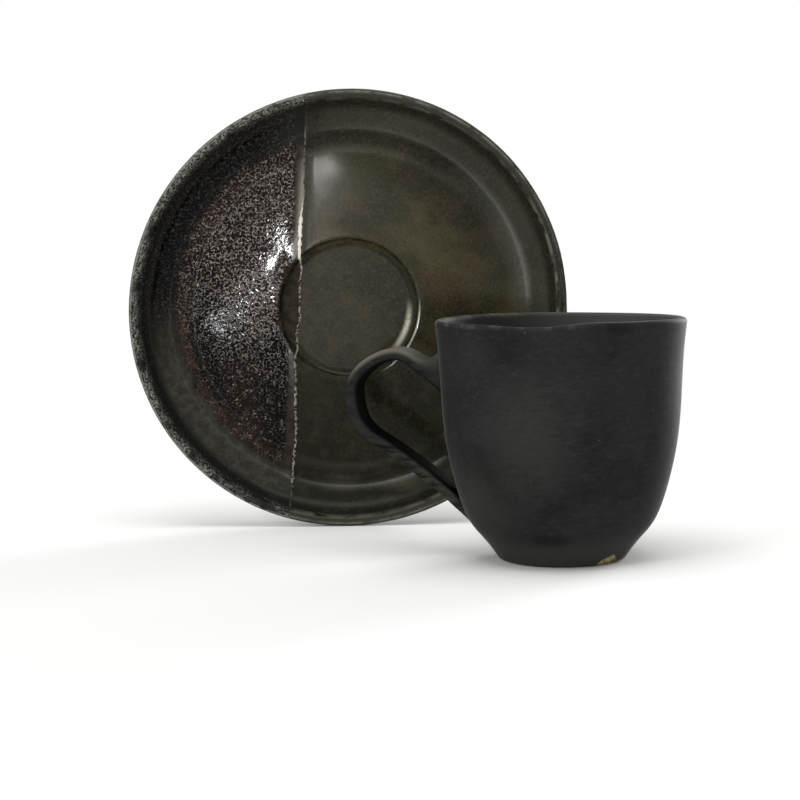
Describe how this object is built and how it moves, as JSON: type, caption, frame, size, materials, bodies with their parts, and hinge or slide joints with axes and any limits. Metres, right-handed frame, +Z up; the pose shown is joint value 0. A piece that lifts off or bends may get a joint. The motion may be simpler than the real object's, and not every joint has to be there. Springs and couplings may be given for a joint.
{
  "type": "coffee cup with saucer",
  "caption": "Stoneware coffee cup with a small foot and a bowed strap handle, and its rimmed saucer with a cup well, standing on edge behind it and glazed olive and speckled along a chord.",
  "frame": {"origin": "middle of the set's footprint, on the table that the cup stands on", "axes": "+Z up, +X from the saucer towards the cup, +Y from the cup's front towards the saucer's back; the saucer's face looks along -Y"},
  "size_m": [0.1984, 0.14, 0.164],
  "materials": {
    "charcoal_stoneware": "matte charcoal",
    "charcoal_handle": "matte charcoal",
    "saucer_stoneware": "dark glaze over brown clay",
    "speckled_glaze": "gloss, dark with pale flecks",
    "olive_glaze": "gloss, clouded dark olive",
    "glaze_seam": "gloss, pale bead"
  },
  "bodies": {
    "saucer": {"saucer_body": "saucer_stoneware", "speckled_glaze": "speckled_glaze", "olive_glaze": "olive_glaze", "glaze_seam": "glaze_seam"},
    "cup": {"cup_body": "charcoal_stoneware", "cup_handle": "charcoal_handle"}
  },
  "joints": [
    {"name": "cup_lift", "type": "slide", "parent": "saucer", "child": "cup", "axis": [0, 0, 1], "range_m": [0, 0.17]}
  ]
}
